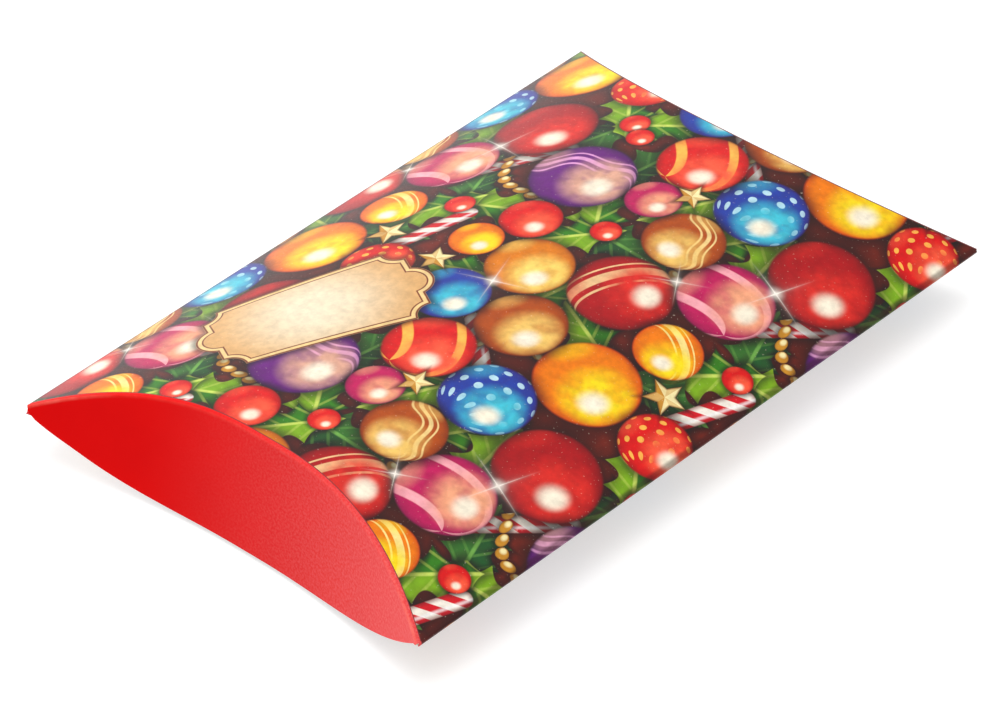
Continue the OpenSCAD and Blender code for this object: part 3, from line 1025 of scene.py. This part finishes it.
def red_material():
    """Red ink with fine specks, a painted sheen to one side, and a painted highlight on a
    scuffed fold.
    """
    graph, material, shader = new_material("red_ink")
    sheet = graph.sheet()
    across, along, _ = graph.parts(sheet)
    speck = graph.noise(sheet, *SPECK_NOISE)
    colour = graph.mix(graph.noise(sheet, *RED_NOISE), *RED_SHADES)
    # Painted sheen: the red pales smoothly towards one side of the flap, and its pale specks
    # grow there too
    painted_sheen_side = graph.step(across, *PAINTED_SHEEN_SIDE_STEP)
    pale = graph.math("MULTIPLY", graph.step(speck, *SPECK_AND_SHEEN_STEP), painted_sheen_side)
    colour = graph.mix(pale, colour, PALE_SPECK_AND_SHEEN)
    # Along the fold near the tips: a paler line, partly scuffs and partly a painted highlight of
    # the rounded fold
    tips = graph.step(graph.math("ABSOLUTE", across), *SCUFF_AND_HIGHLIGHT_ACROSS_STEP)
    fold = graph.math("MULTIPLY", graph.step(along, *SCUFF_AND_HIGHLIGHT_END_STEP),
                      graph.step(along, *SCUFF_AND_HIGHLIGHT_START_STEP))
    wear = graph.step(graph.noise(sheet, *SCUFF_NOISE), *SCUFF_WEAR_STEP)
    scuff_and_highlight = graph.math("MULTIPLY", graph.math("MULTIPLY", fold, tips), wear)
    colour = graph.mix(scuff_and_highlight, colour, SCUFF_AND_HIGHLIGHT)
    graph.feed(shader.inputs["Base Color"], colour)
    graph.feed(shader.inputs["Roughness"], graph.step(speck, *RED_ROUGHNESS_STEP))
    set_surface(shader, **RED_SURFACE)
    add_bump(graph, shader, *RED_BUMP, speck)
    return material


# Bare board: the stretch of its fibres, the step between its two shades, and its surface
FIBRE_STRETCH = (1.0, 3.0, 1.0)
FIBRE_STEP = (0.35, 0.75)
BOARD_ROUGHNESS = 0.85
BOARD_BUMP = (0.3, 0.02 * MM)
# Pale and dark shade, and noise, of the board's faces and of its cut edges
BARE_BOARD = (0xF0EDE4, 0xD6D0C2, (1.1, 4.0, 0.7))
CUT_EDGE = (0xE9E2D2, 0xB9AE98, (2.4, 4.0, 0.7))
# Colour and roughness of the dark line between the red ink and the print
SEAM_INK = (0x6A0A0C, 0.4)


def board_material(name, pale, dark, fibre_noise):
    """Uncoated board: pale pulp with darker flecks and fibres."""
    graph, material, shader = new_material(name)
    stretched = graph.vector("MULTIPLY", graph.sheet(), FIBRE_STRETCH)
    fibre = graph.noise(stretched, *fibre_noise)
    colour = graph.mix(graph.step(fibre, *FIBRE_STEP), colour_of(pale), colour_of(dark))
    graph.feed(shader.inputs["Base Color"], colour)
    shader.inputs["Roughness"].default_value = BOARD_ROUGHNESS
    add_bump(graph, shader, *BOARD_BUMP, fibre)
    return material


def plain_material(name, value, roughness):
    _, material, shader = new_material(name)
    shader.inputs["Base Color"].default_value = colour_of(value)
    shader.inputs["Roughness"].default_value = roughness
    return material


# Dried glue, streaked along the seam
GLUE_SHADES = (colour_of(0xE5DFC6), colour_of(0xD2C49A))
GLUE_STRETCH = (1.0, 0.2, 1.0)
GLUE_NOISE = (1.5, 3.0)
GLUE_ROUGHNESS_STEP = (0.3, 0.7, 0.25, 0.5)


def glue_material():
    graph, material, shader = new_material("dried_glue")
    place = graph.scaled(graph.node("ShaderNodeTexCoord").outputs["Object"], 1 / MM)
    streak = graph.noise(graph.vector("MULTIPLY", place, GLUE_STRETCH), *GLUE_NOISE)
    graph.feed(shader.inputs["Base Color"], graph.mix(streak, *GLUE_SHADES))
    graph.feed(shader.inputs["Roughness"], graph.step(streak, *GLUE_ROUGHNESS_STEP))
    return material


def build_pieces():
    printed, red = printed_material(), red_material()
    bare = board_material("bare_board", *BARE_BOARD)
    edge = board_material("cut_edge", *CUT_EDGE)
    seam_ink = plain_material("seam_ink", *SEAM_INK)

    def dress(piece, outside):
        for material in (outside, bare, edge, red, seam_ink):
            piece.data.materials.append(material)

    sleeve = sleeve_sheet()
    dress(sleeve, printed)
    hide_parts("top_panel", "bottom_panel", "right_fold")
    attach(sleeve, "sleeve")
    seam = glue_flap_sheet()
    dress(seam, printed)
    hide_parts("seam_fold", "glue_flap")
    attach(seam, "sleeve")
    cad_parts["glue_line"].material_slots[0].material = glue_material()

    parts = (("outer", 1, SEAM_LIFT, TIP_HALF_W, OUTER_LEAN, outer_blade),
             ("inner", -1, 0.0, INNER_HALF_W, INNER_LEAN, inner_blade))
    for end, along_y in (("front", 1), ("back", -1)):
        for part, up, left_z, half_w, lean, blade in parts:
            side = (along_y, up)
            for ply, (faces_at, inked) in PLIES.items():
                piece = flap_ply(f"{end}_{part}_flap_{ply}", side, left_z, half_w, lean,
                                 blade, inked, faces_at)
                dress(piece, red)
                if inked:
                    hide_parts(f"{end}_{part}_flap")
                hang(piece)


WHITE = (1, 1, 1, 1)
FLOOR_HALF = 3.0
FLOOR_COLOUR = (0.55, 0.55, 0.55, 1)
FLOOR_ROUGHNESS = 0.9
# Light that the floor adds of its own where it is seen, to reach white
FLOOR_LIFT = 0.56
WORLD_LIGHT = 0.6


def seen(graph):
    """1 where the ray comes from the camera, a gloss or a clear body."""
    path = graph.node("ShaderNodeLightPath").outputs
    gloss = graph.math("MAXIMUM", path["Is Glossy Ray"], path["Is Transmission Ray"])
    return graph.math("MAXIMUM", path["Is Camera Ray"], gloss)


def make_floor():
    mesh = bpy.data.meshes.new("floor")
    corners = [(-1, -1), (1, -1), (1, 1), (-1, 1)]
    points = [(x * FLOOR_HALF, y * FLOOR_HALF, 0) for x, y in corners]
    mesh.from_pydata(points, [], [(0, 1, 2, 3)])
    floor = bpy.data.objects.new("floor", mesh)
    bpy.context.scene.collection.objects.link(floor)
    graph, material, shader = new_material("floor_paper")
    shader.inputs["Base Color"].default_value = FLOOR_COLOUR
    shader.inputs["Roughness"].default_value = FLOOR_ROUGHNESS
    shader.inputs["Specular IOR Level"].default_value = 0.0
    shader.inputs["Emission Color"].default_value = WHITE
    lift = graph.math("MULTIPLY", seen(graph), FLOOR_LIFT)
    graph.feed(shader.inputs["Emission Strength"], lift)
    mesh.materials.append(material)


def make_world():
    world = bpy.data.worlds.new("studio")
    bpy.context.scene.world = world
    world.use_nodes = True
    graph = Graph(world.node_tree)
    background = world.node_tree.nodes["Background"]
    background.inputs["Color"].default_value = WHITE
    strength = graph.step(seen(graph), 0.0, 1.0, WORLD_LIGHT, 1.0)
    graph.feed(background.inputs["Strength"], strength)


# Name, place, size and power of each lamp
LAMPS = (
    ("left_softbox", (-0.7, -0.1, 0.12), 0.45, 5.0),
    ("top_softbox", (0.1, -0.1, 0.9), 0.6, 4.0),
    ("front_softbox", (0.5, -0.7, 0.5), 0.5, 1.5),
)


def softbox(name, place, size, power):
    data = bpy.data.lights.new(name, "AREA")
    data.size = size
    data.energy = power
    light = bpy.data.objects.new(name, data)
    light.location = place
    light.rotation_euler = (-Vector(place)).to_track_quat("-Z", "Y").to_euler()
    bpy.context.scene.collection.objects.link(light)


build_pieces()
make_floor()
make_world()
for lamp in LAMPS:
    softbox(*lamp)
bpy.context.scene.view_settings.view_transform = "Standard"
